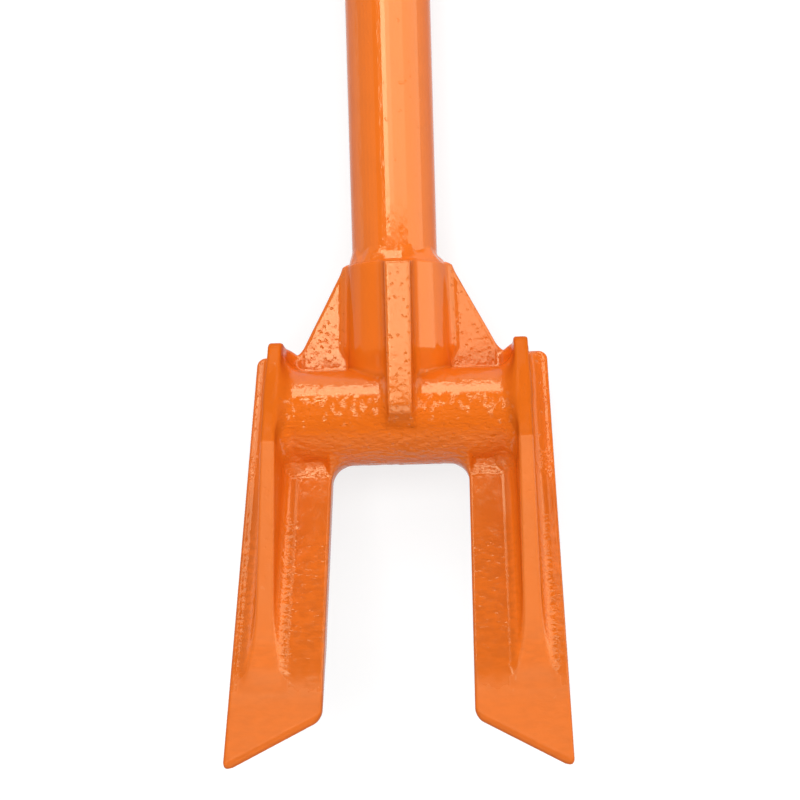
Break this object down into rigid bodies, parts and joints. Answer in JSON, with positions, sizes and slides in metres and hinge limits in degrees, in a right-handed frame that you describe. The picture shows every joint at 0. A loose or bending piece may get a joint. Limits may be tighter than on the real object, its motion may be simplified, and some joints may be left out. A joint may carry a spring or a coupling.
{
  "type": "demolition bar",
  "caption": "Long-handled demolition bar: a forked cast head with leaning ribbed tines, welded to a straight round steel tube, in orange powder coat.",
  "frame": {"origin": "on the ground under the middle of the bar, which lies on its back", "axes": "+X across the head to its right, +Y up the handle from the tines to the plug, +Z from the bar's back to its front, the side that the tines lean to"},
  "size_m": [0.148, 1.1956, 0.1053],
  "materials": {
    "coated_casting": "glossy sprayed powder coat in orange over rough cast iron",
    "coated_tube": "glossy sprayed powder coat in orange over smooth steel tube",
    "coated_weld": "glossy sprayed powder coat in orange over a rippled weld bead",
    "plug_plastic": "moulded black plastic"
  },
  "bodies": {
    "root": {"fork_head": "coated_casting", "handle_tube": "coated_tube", "neck_weld": "coated_weld", "end_plug": "plug_plastic"}
  },
  "joints": []
}
